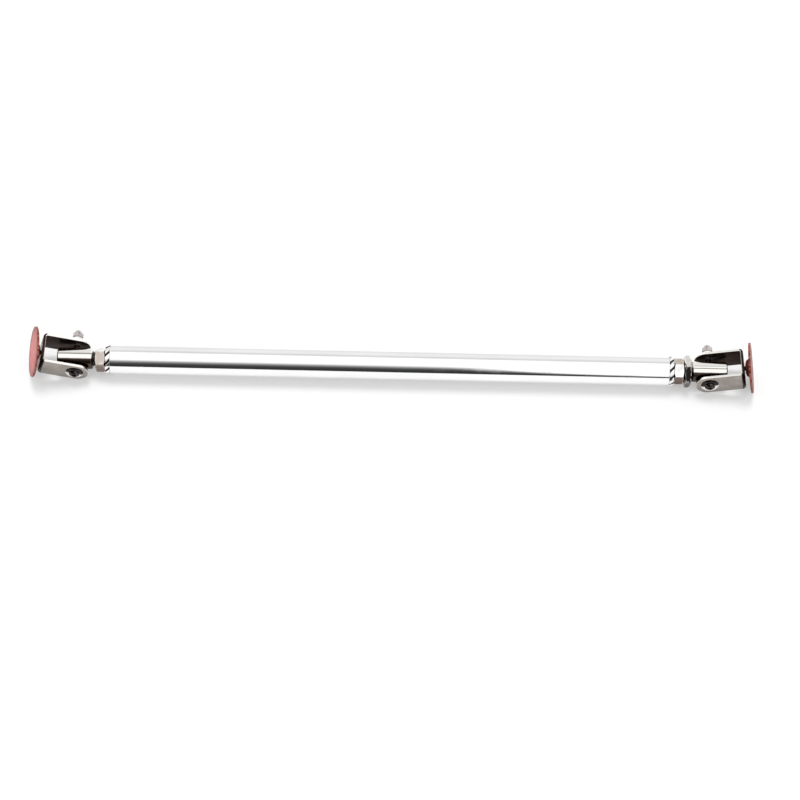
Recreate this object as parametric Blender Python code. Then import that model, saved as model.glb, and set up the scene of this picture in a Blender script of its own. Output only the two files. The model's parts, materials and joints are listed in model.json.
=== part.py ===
"""Adjustable bed cargo bar: a tube with a screw-adjusted fork and a rubber pad at each end.

Turning the tube drives both threaded rods in or out. Each rod carries a round head that is
held between the ears of a U-shaped fork by a pivot bolt, and each fork carries a round
rubber pad on a ball stud. Lengths are in metres and angles in degrees. X runs along the
bar, Z is up, and the origin is on the ground under the middle of the bar.
"""

import math

import bmesh
import bpy
from mathutils import Vector

# Gap kept between neighbouring pieces, and how far a cutting shape runs past a surface
GAP = 0.0003
OVERSHOOT = 0.001

# Main tube
TUBE_RADIUS = 0.0254
TUBE_WALL = 0.0024
TUBE_LENGTH = 0.9415
TUBE_CHAMFER = 0.0005

# Threaded end plugs, pressed into the tube up to a flange
PLUG_DEPTH = 0.035
PLUG_FLANGE_RADIUS = 0.0249
PLUG_FLANGE_THICKNESS = 0.0075
PLUG_CHAMFER = 0.0018

# Threaded rods
ROD_RADIUS = 0.0125
ROD_CHAMFER = 0.0012
ROD_TRAVEL = 0.060

# Hexagon nuts on the rods: a full lock nut at each end, and a wider thin nut at the right
LOCK_NUT_FLATS = 0.038
LOCK_NUT_HEIGHT = 0.0175
JAM_NUT_FLATS = 0.048
JAM_NUT_HEIGHT = 0.0115
JAM_NUT_TURN = 15.0
NUT_FACE_SHARE = 0.94  # the round end face of a nut, as a share of its width across flats
NUT_CROWN_SHARE = 1.05  # the widest radius of a nut's crown, as a share of its corner radius
NUT_CHAMFER_ANGLE = 30.0
LEFT_BARE_THREAD = 0.0045
RIGHT_BARE_THREAD = 0.0016

# Rod heads: short cylinders in line with the bar, bored across for the pivot
HEAD_RADIUS = 0.0175
HEAD_LENGTH = 0.059
HEAD_CHAMFER = 0.0018
HEAD_SOCKET_DEPTH = 0.020

# Forks bent from plate: two ears with round ends, centred a little past the pivot, and a
# web that carries the pad
FORK_PLATE = 0.0045
FORK_INNER_WIDTH = 0.046
FORK_HEIGHT = 0.041
FORK_REACH = 0.060
FORK_EAR_SHIFT = 0.003
FORK_BEND_RADIUS = 0.0025

# Pivot bolts, 10 mm, with button heads, wide washers, and a plain nut locked by a
# self-locking nut, and the bushes that line the rod heads' cross bores
BOLT_RADIUS = 0.005
BOLT_HEAD_RADIUS = 0.00875
BOLT_HEAD_HEIGHT = 0.0055
BOLT_HEAD_EDGE = 0.0008
BOLT_SOCKET_FLATS = 0.007
BOLT_SOCKET_DEPTH = 0.0034
BOLT_TIP = 0.004
BOLT_TIP_CHAMFER = 0.0008
WASHER_RADIUS = 0.015
WASHER_THICKNESS = 0.002
WASHER_CHAMFER = 0.0003
PIVOT_NUT_FLATS = 0.017
PIVOT_NUT_HEIGHT = 0.0085
PIVOT_NUT_COLLAR_RADIUS = 0.0075
PIVOT_NUT_COLLAR_HEIGHT = 0.0025
PIVOT_NUT_COLLAR_CHAMFER = 0.0008
BUSH_RADIUS = 0.0072
BUSH_LENGTH = 0.031
BUSH_CHAMFER = 0.0003

# Ball studs riveted into the fork webs, and the sockets that turn on them
SWIVEL_REACH = 0.064
BALL_RADIUS = 0.005
STUD_RADIUS = 0.0036
STUD_HEAD_RADIUS = 0.0068
SOCKET_RADIUS = 0.0098
SOCKET_BACK = -0.0022
SOCKET_FRONT = 0.006
SOCKET_CHAMFER = 0.0008

# Rubber pads: flat discs, a little thicker round the hub that holds the socket
PAD_RADIUS = 0.043
PAD_FACE = 0.0085
PAD_RIM = 0.0038
PAD_MIDDLE = 0.0050
PAD_ROUNDING = 0.0011
PAD_BACK_CHAMFER = 0.0006
PAD_HUB_RADIUS = 0.0128
PAD_HUB_FOOT = 0.0160
PAD_HUB_BACK = -0.0012
PAD_HUB_CHAMFER = 0.001

# Rest position of each end: roll about the bar, lift of the fork, and turn of the pad
LEFT_ROLL = -3.0
LEFT_TILT = 17.0
LEFT_PAD_TURN = 6.0
RIGHT_ROLL = -2.0
RIGHT_TILT = 12.0
RIGHT_PAD_TURN = -2.5

# Facets round a full turn, and the least angle between faces that shades as an edge
COARSE_SEGMENTS = 24
FINE_SEGMENTS = 48
SHARP_ANGLE = 32.0

# Points closer than this are one point, and faces flatter than this angle are one face
MERGE_DISTANCE = 1.0e-6
FLAT_ANGLE = 0.5


def clear_scene():
    """Removes every object that the scene holds."""
    for item in list(bpy.data.objects):
        bpy.data.objects.remove(item, do_unlink=True)


def make_material(name, colour, metallic, roughness):
    """A plain Principled material."""
    material = bpy.data.materials.new(name)
    material.use_nodes = True
    shader = material.node_tree.nodes["Principled BSDF"]
    shader.inputs["Base Color"].default_value = (*colour, 1.0)
    shader.inputs["Metallic"].default_value = metallic
    shader.inputs["Roughness"].default_value = roughness
    material.diffuse_color = (*colour, 1.0)
    return material


def add_empty(name, parent, location, rotation=(0.0, 0.0, 0.0)):
    """A frame for the pieces that move together, with its rotation in degrees."""
    empty = bpy.data.objects.new(name, None)
    bpy.context.scene.collection.objects.link(empty)
    empty.parent = parent
    empty.location = location
    empty.rotation_euler = [math.radians(angle) for angle in rotation]
    return empty


def add_piece(name, mesh, material, parent, location=(0.0, 0.0, 0.0), rotation=(0.0, 0.0, 0.0)):
    """A named piece with its own material, its rotation in degrees."""
    piece = bpy.data.objects.new(name, mesh.copy())
    piece.data.name = name
    bpy.context.scene.collection.objects.link(piece)
    piece.data.materials.append(material)
    piece.parent = parent
    piece.location = location
    piece.rotation_euler = [math.radians(angle) for angle in rotation]
    return piece


def finish_mesh(bm):
    """Turns a bmesh into a mesh whose faces point out and whose round faces shade smooth."""
    bmesh.ops.recalc_face_normals(bm, faces=bm.faces)
    mesh = bpy.data.meshes.new("shape")
    bm.to_mesh(mesh)
    bm.free()
    mesh.shade_smooth()
    mesh.set_sharp_from_angle(angle=math.radians(SHARP_ANGLE))
    return mesh


def arc(centre, radius, start, end, steps):
    """Points on an arc round a centre, from one angle to another, both in degrees."""
    angles = [math.radians(start + (end - start) * step / steps) for step in range(steps + 1)]
    return [(centre[0] + radius * math.cos(a), centre[1] + radius * math.sin(a)) for a in angles]


def join_rings(bm, here, there):
    """Faces between two rings of points, where a ring may be a single point on the axis."""
    count = max(len(here), len(there))
    if count == 1:
        return
    for low in range(count):
        high = (low + 1) % count
        corners = (
            here[low % len(here)],
            here[high % len(here)],
            there[high % len(there)],
            there[low % len(there)],
        )
        bm.faces.new(dict.fromkeys(corners))


def turned(profile, segments):
    """A body turned about X from a closed profile of (along, radius) points."""
    bm = bmesh.new()
    angles = [2.0 * math.pi * step / segments for step in range(segments)]
    rings = []
    for along, radius in profile:
        if radius == 0.0:
            rings.append([bm.verts.new((along, 0.0, 0.0))])
        else:
            points = [(along, radius * math.cos(a), radius * math.sin(a)) for a in angles]
            rings.append([bm.verts.new(point) for point in points])
    for here, there in zip(rings, rings[1:] + rings[:1]):
        join_rings(bm, here, there)
    return finish_mesh(bm)


def extruded(outline, half_depth, along):
    """A prism from a flat outline, run the same depth both ways along the Y or the Z axis."""
    bm = bmesh.new()
    ends = []
    for level in (-half_depth, half_depth):
        if along == "Z":
            points = [(u, v, level) for u, v in outline]
        else:
            points = [(u, level, v) for u, v in outline]
        ends.append([bm.verts.new(point) for point in points])
    bm.faces.new(ends[0])
    bm.faces.new(ends[1])
    join_rings(bm, ends[0], ends[1])
    return finish_mesh(bm)


def combined(mesh, tool, operation, tool_rotation=(0.0, 0.0, 0.0)):
    """The mesh after one exact Boolean with a tool mesh."""
    body = bpy.data.objects.new("body", mesh)
    cutter = bpy.data.objects.new("cutter", tool)
    cutter.rotation_euler = [math.radians(angle) for angle in tool_rotation]
    for item in (body, cutter):
        bpy.context.scene.collection.objects.link(item)
    modifier = body.modifiers.new("cut", "BOOLEAN")
    modifier.operation = operation
    modifier.solver = "EXACT"
    modifier.object = cutter
    bpy.context.view_layer.update()
    evaluated = body.evaluated_get(bpy.context.evaluated_depsgraph_get())
    bm = bmesh.new()
    bm.from_mesh(evaluated.data)
    bmesh.ops.remove_doubles(bm, verts=bm.verts, dist=MERGE_DISTANCE)
    flat = math.radians(FLAT_ANGLE)
    bmesh.ops.dissolve_limit(
        bm, angle_limit=flat, verts=bm.verts, edges=bm.edges, delimit={"NORMAL"}
    )
    for item in (body, cutter):
        bpy.data.objects.remove(item, do_unlink=True)
    return finish_mesh(bm)


def rod_profile(start, end, radius, chamfer):
    """A solid round bar with both ends chamfered."""
    return [
        (start, 0.0),
        (start, radius - chamfer),
        (start + chamfer, radius),
        (end - chamfer, radius),
        (end, radius - chamfer),
        (end, 0.0),
    ]


def drill(half_length, radius):
    """A plain cylinder about X, centred on the origin, for cutting a hole."""
    profile = [(-half_length, 0.0), (-half_length, radius), (half_length, radius), (half_length, 0.0)]
    return turned(profile, COARSE_SEGMENTS)


def ring_profile(start, end, inner, outer, chamfer):
    """A ring with its outer edges chamfered."""
    return [
        (start, inner),
        (start, outer - chamfer),
        (start + chamfer, outer),
        (end - chamfer, outer),
        (end, outer - chamfer),
        (end, inner),
    ]


def hexagon(across_flats, start, end):
    """A hexagonal prism along X with corners at the top and bottom."""
    corner = across_flats / math.sqrt(3.0)
    prism = turned([(start, 0.0), (start, corner), (end, corner), (end, 0.0)], 6)
    quarter_turn = math.radians(90.0)
    for vertex in prism.vertices:
        y, z = vertex.co.y, vertex.co.z
        vertex.co.y = y * math.cos(quarter_turn) - z * math.sin(quarter_turn)
        vertex.co.z = y * math.sin(quarter_turn) + z * math.cos(quarter_turn)
    return prism


def tube_mesh():
    """The main tube, centred on the origin."""
    half = TUBE_LENGTH / 2.0
    inner = TUBE_RADIUS - TUBE_WALL
    return turned(ring_profile(-half, half, inner, TUBE_RADIUS, TUBE_CHAMFER), FINE_SEGMENTS)


def plug_mesh():
    """A bored plug, with the tube's end face at X = 0 and the flange outside it."""
    body = TUBE_RADIUS - TUBE_WALL - GAP
    bore = ROD_RADIUS + GAP
    flange_end = GAP + PLUG_FLANGE_THICKNESS
    profile = [
        (-PLUG_DEPTH, bore),
        (-PLUG_DEPTH, body - PLUG_CHAMFER),
        (-PLUG_DEPTH + PLUG_CHAMFER, body),
        (GAP, body),
        (GAP, PLUG_FLANGE_RADIUS),
        (flange_end - PLUG_CHAMFER, PLUG_FLANGE_RADIUS),
        (flange_end, PLUG_FLANGE_RADIUS - PLUG_CHAMFER),
        (flange_end, bore),
    ]
    return turned(profile, FINE_SEGMENTS)


def nut_crown(across_flats):
    """The end-face radius, the outside radius and the chamfer that cut a nut's corners."""
    face = NUT_FACE_SHARE * across_flats / 2.0
    outside = NUT_CROWN_SHARE * across_flats / math.sqrt(3.0)
    chamfer = (outside - face) * math.tan(math.radians(NUT_CHAMFER_ANGLE))
    return face, outside, chamfer


def nut_mesh(across_flats, height, shank_radius, segments):
    """A hexagon nut with chamfered corners, from X = 0 to its height."""
    face, outside, chamfer = nut_crown(across_flats)
    profile = [
        (0.0, shank_radius + GAP),
        (0.0, face),
        (chamfer, outside),
        (height - chamfer, outside),
        (height, face),
        (height, shank_radius + GAP),
    ]
    crown = turned(profile, segments)
    prism = hexagon(across_flats, -OVERSHOOT, height + OVERSHOOT)
    return combined(prism, crown, "INTERSECT")


def rod_mesh(head_start):
    """A threaded rod, with the tube's end face at X = 0 and its tip inside the rod head."""
    start = -(PLUG_DEPTH + ROD_TRAVEL)
    end = head_start + HEAD_SOCKET_DEPTH - GAP
    return turned(rod_profile(start, end, ROD_RADIUS, ROD_CHAMFER), COARSE_SEGMENTS)


def head_mesh():
    """A rod head centred on its pivot, with a socket for the rod and a bore across it."""
    half = HEAD_LENGTH / 2.0
    socket_radius = ROD_RADIUS + GAP
    socket_end = -half + HEAD_SOCKET_DEPTH
    profile = [
        (-half, socket_radius),
        (-half, HEAD_RADIUS - HEAD_CHAMFER),
        (-half + HEAD_CHAMFER, HEAD_RADIUS),
        (half - HEAD_CHAMFER, HEAD_RADIUS),
        (half, HEAD_RADIUS - HEAD_CHAMFER),
        (half, 0.0),
        (socket_end, 0.0),
        (socket_end, socket_radius),
    ]
    body = turned(profile, FINE_SEGMENTS)
    bore = drill(HEAD_RADIUS + OVERSHOOT, BUSH_RADIUS + GAP)
    return combined(body, bore, "DIFFERENCE", (0.0, 0.0, 90.0))


def fork_outline():
    """The U shape of a fork seen along its height, its open end towards -X."""
    inner = FORK_INNER_WIDTH / 2.0
    outer = inner + FORK_PLATE
    tip = -FORK_HEIGHT / 2.0 - FORK_EAR_SHIFT - OVERSHOOT
    inner_bend = FORK_BEND_RADIUS
    outer_bend = FORK_BEND_RADIUS + FORK_PLATE
    corner_x = FORK_REACH - outer_bend
    corner_y = outer - outer_bend
    points = [(tip, inner), (tip, outer)]
    points += arc((corner_x, corner_y), outer_bend, 90.0, 0.0, 6)
    points += arc((corner_x, -corner_y), outer_bend, 0.0, -90.0, 6)
    points += [(tip, -outer), (tip, -inner)]
    points += arc((corner_x, -corner_y), inner_bend, -90.0, 0.0, 4)
    points += arc((corner_x, corner_y), inner_bend, 0.0, 90.0, 4)
    return points


def fork_mesh():
    """A fork with its pivot at the origin and its web at +X, bored for the bolt and stud."""
    half_height = FORK_HEIGHT / 2.0
    half_width = FORK_INNER_WIDTH / 2.0 + FORK_PLATE
    body = extruded(fork_outline(), half_height + OVERSHOOT, "Z")
    past_web = FORK_REACH + OVERSHOOT
    side = [(past_web, -half_height), (past_web, half_height)]
    side += arc((-FORK_EAR_SHIFT, 0.0), half_height, 90.0, 270.0, 16)
    envelope = extruded(side, half_width + OVERSHOOT, "Y")
    body = combined(body, envelope, "INTERSECT")
    bolt_hole = drill(half_width + OVERSHOOT, BOLT_RADIUS + GAP)
    body = combined(body, bolt_hole, "DIFFERENCE", (0.0, 0.0, 90.0))
    web_inner = FORK_REACH - FORK_PLATE
    sink = STUD_HEAD_RADIUS - STUD_RADIUS
    stud_hole = [
        (web_inner - OVERSHOOT, 0.0),
        (web_inner - OVERSHOOT, STUD_HEAD_RADIUS + GAP),
        (web_inner, STUD_HEAD_RADIUS + GAP),
        (web_inner + sink, STUD_RADIUS + GAP),
        (past_web, STUD_RADIUS + GAP),
        (past_web, 0.0),
    ]
    return combined(body, turned(stud_hole, COARSE_SEGMENTS), "DIFFERENCE")


def bolt_mesh(grip):
    """A button-head bolt with the underside of its head at X = 0 and its shank to +X."""
    rise = BOLT_HEAD_HEIGHT - BOLT_HEAD_EDGE
    sphere = (rise**2 + BOLT_HEAD_RADIUS**2) / (2.0 * rise)
    centre = sphere - BOLT_HEAD_HEIGHT
    dome_end = 180.0 - math.degrees(math.asin(BOLT_HEAD_RADIUS / sphere))
    dome = arc((centre, 0.0), sphere, 180.0, dome_end, 5)
    end = grip + BOLT_TIP
    shank = [
        (0.0, BOLT_HEAD_RADIUS),
        (0.0, BOLT_RADIUS),
        (end - BOLT_TIP_CHAMFER, BOLT_RADIUS),
        (end, BOLT_RADIUS - BOLT_TIP_CHAMFER),
        (end, 0.0),
    ]
    crown = [(-BOLT_HEAD_HEIGHT, 0.0)] + dome[1:]
    body = turned(crown + shank, COARSE_SEGMENTS)
    above = -BOLT_HEAD_HEIGHT - OVERSHOOT
    socket = hexagon(BOLT_SOCKET_FLATS, above, BOLT_SOCKET_DEPTH - BOLT_HEAD_HEIGHT)
    return combined(body, socket, "DIFFERENCE")


def washer_mesh():
    """A wide washer from X = 0 to its thickness."""
    bore = BOLT_RADIUS + GAP
    profile = ring_profile(0.0, WASHER_THICKNESS, bore, WASHER_RADIUS, WASHER_CHAMFER)
    return turned(profile, COARSE_SEGMENTS)


def locking_nut_mesh():
    """A self-locking nut with its seat at X = 0 and its round collar at +X."""
    face, outside, chamfer = nut_crown(PIVOT_NUT_FLATS)
    bore = BOLT_RADIUS + GAP
    top = PIVOT_NUT_HEIGHT + PIVOT_NUT_COLLAR_HEIGHT
    profile = [
        (0.0, bore),
        (0.0, face),
        (chamfer, outside),
        (PIVOT_NUT_HEIGHT - chamfer, outside),
        (PIVOT_NUT_HEIGHT, PIVOT_NUT_COLLAR_RADIUS),
        (top - PIVOT_NUT_COLLAR_CHAMFER, PIVOT_NUT_COLLAR_RADIUS),
        (top, PIVOT_NUT_COLLAR_RADIUS - PIVOT_NUT_COLLAR_CHAMFER),
        (top, bore),
    ]
    crown = turned(profile, COARSE_SEGMENTS)
    prism = hexagon(PIVOT_NUT_FLATS, -OVERSHOOT, top + OVERSHOOT)
    return combined(prism, crown, "INTERSECT")


def bush_mesh():
    """The bush pressed into a rod head's cross bore, centred on the pivot."""
    half = BUSH_LENGTH / 2.0
    profile = ring_profile(-half, half, BOLT_RADIUS + GAP, BUSH_RADIUS, BUSH_CHAMFER)
    return turned(profile, COARSE_SEGMENTS)


def stud_mesh():
    """A ball stud, with the ball at the origin and its countersunk head flush in the web."""
    head = FORK_REACH - FORK_PLATE - SWIVEL_REACH
    sink = STUD_HEAD_RADIUS - STUD_RADIUS
    neck = math.degrees(math.asin(STUD_RADIUS / BALL_RADIUS))
    profile = [(head, 0.0), (head, STUD_HEAD_RADIUS), (head + sink, STUD_RADIUS)]
    ball = arc((0.0, 0.0), BALL_RADIUS, 180.0 - neck, 0.0, 8)
    profile += ball[:-1]
    profile.append((BALL_RADIUS, 0.0))
    return turned(profile, COARSE_SEGMENTS)


def socket_mesh():
    """The metal socket that turns on the ball, with the ball's centre at the origin."""
    cavity = BALL_RADIUS + GAP
    mouth = 180.0 - math.degrees(math.acos(-SOCKET_BACK / cavity))
    hollow = arc((0.0, 0.0), cavity, 0.0, mouth, 8)
    profile = [(cavity, 0.0)] + hollow[1:]
    profile += [
        (SOCKET_BACK, SOCKET_RADIUS - SOCKET_CHAMFER),
        (SOCKET_BACK + SOCKET_CHAMFER, SOCKET_RADIUS),
        (SOCKET_FRONT, SOCKET_RADIUS),
        (SOCKET_FRONT, 0.0),
    ]
    return turned(profile, COARSE_SEGMENTS)


def pad_mesh():
    """A rubber pad round its socket, with the ball's centre at the origin."""
    recess = SOCKET_RADIUS + GAP
    rim_edge = PAD_RADIUS - PAD_ROUNDING
    face_edge = PAD_FACE - PAD_ROUNDING
    profile = [
        (SOCKET_FRONT + GAP, 0.0),
        (SOCKET_FRONT + GAP, recess),
        (PAD_HUB_BACK, recess),
        (PAD_HUB_BACK, PAD_HUB_RADIUS - PAD_HUB_CHAMFER),
        (PAD_HUB_BACK + PAD_HUB_CHAMFER, PAD_HUB_RADIUS),
        (PAD_FACE - PAD_MIDDLE, PAD_HUB_FOOT),
        (PAD_FACE - PAD_RIM, PAD_RADIUS - PAD_BACK_CHAMFER),
        (PAD_FACE - PAD_RIM + PAD_BACK_CHAMFER, PAD_RADIUS),
    ]
    profile += arc((face_edge, rim_edge), PAD_ROUNDING, 90.0, 0.0, 3)
    profile.append((PAD_FACE, 0.0))
    return turned(profile, FINE_SEGMENTS)


def build_end(prefix, centre, facing, roll, tilt, pad_turn, bare_thread, with_jam_nut, finishes):
    """One end of the bar. Its frame has +X outward; facing is 0 for right and 180 for left."""
    bolt_turn = 90.0 if facing == 0.0 else -90.0
    tube_end = (math.cos(math.radians(facing)) * TUBE_LENGTH / 2.0, 0.0, 0.0)
    end = add_empty(prefix + "_end_frame", centre, tube_end, (0.0, 0.0, facing))
    add_piece(prefix + "_end_plug", plug_mesh(), finishes["plug"], end)

    nut_start = 2.0 * GAP + PLUG_FLANGE_THICKNESS
    lock_nut = nut_mesh(LOCK_NUT_FLATS, LOCK_NUT_HEIGHT, ROD_RADIUS, FINE_SEGMENTS)
    add_piece(prefix + "_lock_nut", lock_nut, finishes["nut"], end, (nut_start, 0.0, 0.0))
    stack_end = nut_start + LOCK_NUT_HEIGHT
    if with_jam_nut:
        jam_nut = nut_mesh(JAM_NUT_FLATS, JAM_NUT_HEIGHT, ROD_RADIUS, FINE_SEGMENTS)
        jam_start = (stack_end + GAP, 0.0, 0.0)
        jam_turn = (JAM_NUT_TURN, 0.0, 0.0)
        add_piece(prefix + "_jam_nut", jam_nut, finishes["nut"], end, jam_start, jam_turn)
        stack_end += GAP + JAM_NUT_HEIGHT

    head_start = stack_end + GAP + bare_thread
    pivot_place = head_start + HEAD_LENGTH / 2.0
    rod = add_empty(prefix + "_rod_frame", end, (0.0, 0.0, 0.0), (roll, 0.0, 0.0))
    add_piece(prefix + "_threaded_rod", rod_mesh(head_start), finishes["rod"], rod)
    pivot_point = (pivot_place, 0.0, 0.0)
    add_piece(prefix + "_rod_head", head_mesh(), finishes["head"], rod, pivot_point)
    across = (0.0, 0.0, 90.0)
    add_piece(prefix + "_pivot_bush", bush_mesh(), finishes["bush"], rod, pivot_point, across)

    pivot = add_empty(prefix + "_pivot_frame", rod, pivot_point, (0.0, -tilt, 0.0))
    add_piece(prefix + "_fork_bracket", fork_mesh(), finishes["fork"], pivot)
    bolt = add_empty(prefix + "_bolt_frame", pivot, (0.0, 0.0, 0.0), (0.0, 0.0, bolt_turn))
    ear = FORK_INNER_WIDTH / 2.0 + FORK_PLATE + GAP
    seat = ear + WASHER_THICKNESS + GAP
    lock_seat = seat + PIVOT_NUT_HEIGHT + GAP
    grip = seat + lock_seat + PIVOT_NUT_HEIGHT + PIVOT_NUT_COLLAR_HEIGHT
    add_piece(prefix + "_pivot_bolt", bolt_mesh(grip), finishes["bolt"], bolt, (-seat, 0.0, 0.0))
    plain_nut = nut_mesh(PIVOT_NUT_FLATS, PIVOT_NUT_HEIGHT, BOLT_RADIUS, COARSE_SEGMENTS)
    add_piece(prefix + "_pivot_nut", plain_nut, finishes["bolt"], bolt, (seat, 0.0, 0.0))
    locking_nut = locking_nut_mesh()
    lock_place = (lock_seat, 0.0, 0.0)
    add_piece(prefix + "_locking_nut", locking_nut, finishes["bolt"], bolt, lock_place)
    washer = washer_mesh()
    washer_start = -ear - WASHER_THICKNESS
    add_piece(prefix + "_head_washer", washer, finishes["washer"], bolt, (washer_start, 0.0, 0.0))
    add_piece(prefix + "_nut_washer", washer, finishes["washer"], bolt, (ear, 0.0, 0.0))

    swivel_place = (SWIVEL_REACH, 0.0, 0.0)
    add_piece(prefix + "_pad_stud", stud_mesh(), finishes["stud"], pivot, swivel_place)
    swivel = add_empty(prefix + "_swivel_frame", pivot, swivel_place, (0.0, 0.0, pad_turn))
    add_piece(prefix + "_pad_socket", socket_mesh(), finishes["socket"], swivel)
    add_piece(prefix + "_rubber_pad", pad_mesh(), finishes["rubber"], swivel)


def stand_on_ground(frame):
    """Moves the whole bar so that its box is centred on the origin and stands on Z = 0."""
    bpy.context.view_layer.update()
    pieces = [item for item in bpy.data.objects if item.type == "MESH"]
    corners = [piece.matrix_world @ vertex.co for piece in pieces for vertex in piece.data.vertices]
    low = Vector([min(corner[axis] for corner in corners) for axis in range(3)])
    high = Vector([max(corner[axis] for corner in corners) for axis in range(3)])
    middle = (low + high) / 2.0
    frame.location = (-middle.x, -middle.y, -low.z)
    bpy.context.view_layer.update()


def main():
    """Builds the bar."""
    clear_scene()
    finishes = {
        "tube": make_material("polished_tube", (0.80, 0.80, 0.80), 1.0, 0.08),
        "plug": make_material("bright_plug", (0.72, 0.72, 0.71), 1.0, 0.18),
        "nut": make_material("plated_nut", (0.62, 0.60, 0.57), 1.0, 0.25),
        "rod": make_material("threaded_steel", (0.45, 0.44, 0.42), 1.0, 0.35),
        "head": make_material("bright_head", (0.76, 0.76, 0.74), 1.0, 0.14),
        "fork": make_material("stainless_plate", (0.55, 0.52, 0.49), 1.0, 0.28),
        "bush": make_material("bronze_bush", (0.60, 0.45, 0.25), 1.0, 0.35),
        "bolt": make_material("plated_bolt", (0.60, 0.59, 0.57), 1.0, 0.22),
        "washer": make_material("plated_washer", (0.66, 0.65, 0.63), 1.0, 0.26),
        "stud": make_material("steel_stud", (0.50, 0.49, 0.48), 1.0, 0.30),
        "socket": make_material("steel_socket", (0.40, 0.39, 0.38), 1.0, 0.35),
        "rubber": make_material("red_brown_rubber", (0.42, 0.16, 0.12), 0.0, 0.45),
    }
    centre = add_empty("bar_frame", None, (0.0, 0.0, 0.0))
    add_piece("main_tube", tube_mesh(), finishes["tube"], centre)
    build_end(
        "left", centre, 180.0, LEFT_ROLL, LEFT_TILT, LEFT_PAD_TURN, LEFT_BARE_THREAD, False, finishes
    )
    build_end(
        "right", centre, 0.0, RIGHT_ROLL, RIGHT_TILT, RIGHT_PAD_TURN, RIGHT_BARE_THREAD, True, finishes
    )
    stand_on_ground(centre)


main()
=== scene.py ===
"""Visual model of an adjustable bed cargo bar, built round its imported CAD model.

Each visible piece is made in the local frame of the CAD piece that it stands for: X along
the turning axis, Y across, Z up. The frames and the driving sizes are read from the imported
model, and only surface details such as fillets, threads and notches are set here.
Lengths are in metres and angles in degrees unless a name says otherwise.
"""

import json
import math
from collections import namedtuple

import bmesh
import bpy
from mathutils import Matrix, Vector


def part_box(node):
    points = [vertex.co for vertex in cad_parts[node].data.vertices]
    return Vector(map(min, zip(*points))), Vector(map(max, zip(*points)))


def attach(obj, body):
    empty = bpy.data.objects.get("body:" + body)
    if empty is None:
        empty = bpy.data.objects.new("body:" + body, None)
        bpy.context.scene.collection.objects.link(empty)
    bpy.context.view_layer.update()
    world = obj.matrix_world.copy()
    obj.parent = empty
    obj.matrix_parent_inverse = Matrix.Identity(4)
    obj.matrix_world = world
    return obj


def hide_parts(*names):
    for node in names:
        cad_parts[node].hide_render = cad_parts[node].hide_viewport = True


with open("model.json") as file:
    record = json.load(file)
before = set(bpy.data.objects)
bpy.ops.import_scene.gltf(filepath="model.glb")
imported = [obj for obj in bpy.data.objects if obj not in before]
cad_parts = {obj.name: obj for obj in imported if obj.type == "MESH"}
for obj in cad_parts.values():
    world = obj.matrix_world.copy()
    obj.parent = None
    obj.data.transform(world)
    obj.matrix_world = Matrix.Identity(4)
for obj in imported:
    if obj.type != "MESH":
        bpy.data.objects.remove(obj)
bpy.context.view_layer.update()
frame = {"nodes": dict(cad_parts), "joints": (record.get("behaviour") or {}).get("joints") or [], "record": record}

# Camera
FOCAL_LENGTH = 99.9
SENSOR_WIDTH = 36.0
VIEW_WIDTH = 1.352  # width of the view at the bar
CAMERA_ELEVATION = 57.5
CAMERA_ROLL = 1.23
BAR_OFFSET = (-0.013013, 0.058812)  # the bar's middle, right of and above the view's middle

# All shapes
GAP = 0.0003  # clearance between neighbouring pieces
OVERSHOOT = 0.001  # how far a cutting tool reaches past what it cuts
FINE_EDGE = 0.0002
SMALL_EDGE = 0.0003
SOFT_EDGE = 0.0004
FLAT_ANGLE = 0.4  # faces that turn less than this are joined after a cut
MERGE_DISTANCE = 1.0e-6
SHARP_ANGLE = 34.0  # edges that turn more than this are shaded sharp
WORN_ANGLE = 20.0  # edges that turn this much or more count as fully worn
SMALL_SIDES = 48  # faces round a small turned piece
SOCKET_SIDES = 64

# Main tube and end plugs
TUBE_SIDES = 160
TUBE_EDGE = 0.0007
TUBE_STEP = 0.012
PLUG_EDGE = 0.0012
PLUG_LEAD = 0.0015
PLUG_MOUTH = 0.0008
PLUG_NOTCHES = 10
PLUG_NOTCH_SIDES = 20
PLUG_NOTCH_DEPTH = 0.0022
PLUG_RIM_STEPS = 6
PLUG_NOTCH_SHARE = 0.42  # share of the rim that the notches take up
PLUG_NOTCH_FLANK = 0.45  # share of a notch that its sloping sides take up
PLUG_NOTCH_TWIST = 20.0  # how far a notch turns from one side of the flange to the other

# Nuts
NUT_FACE_SHARE = 0.94
NUT_CHAMFER_ANGLE = 30.0
NUT_ROUNDING = 0.0007
NUT_STEPS = 8  # rows of faces along a nut
NUT_COUNTERSINK = 0.0012
NUT_SINK_SHARE = 0.4  # share of a thin nut's face that a countersink may take
NUT_SINK_SLOPE = 0.6
NUT_TURNS = {"lock_nut": 0.0, "jam_nut": 15.0}
COLLAR_HEIGHT = 0.0025
COLLAR_RADIUS = 0.0075
COLLAR_SHOULDER = (0.0009, 0.0011)  # reach along and inward
COLLAR_ROUNDING = 0.0008
COLLAR_LIP = (0.0004, 0.0009)  # reach along and outward

# Rod heads and their bushes
HEAD_SIDES = 96
HEAD_CHAMFER = 0.0017
HEAD_ROUNDING = 0.0005
HEAD_MOUTH = 0.0008
SHADE_TILT = 57.5  # how far the painted light side of a rod head is turned up from the front, away from its painted shade
BUSH_STEP = 0.002

# Threads
ROD_PITCH = 0.003
BOLT_PITCH = 0.0015
THREAD_DEPTH_SHARE = 0.54  # depth of a thread over its pitch
THREAD_CREST = 0.16  # share of a pitch that is flat at the crest
THREAD_FLANK = 0.62  # share of a pitch that slopes
THREAD_STEPS = 12  # rings in one pitch

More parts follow.
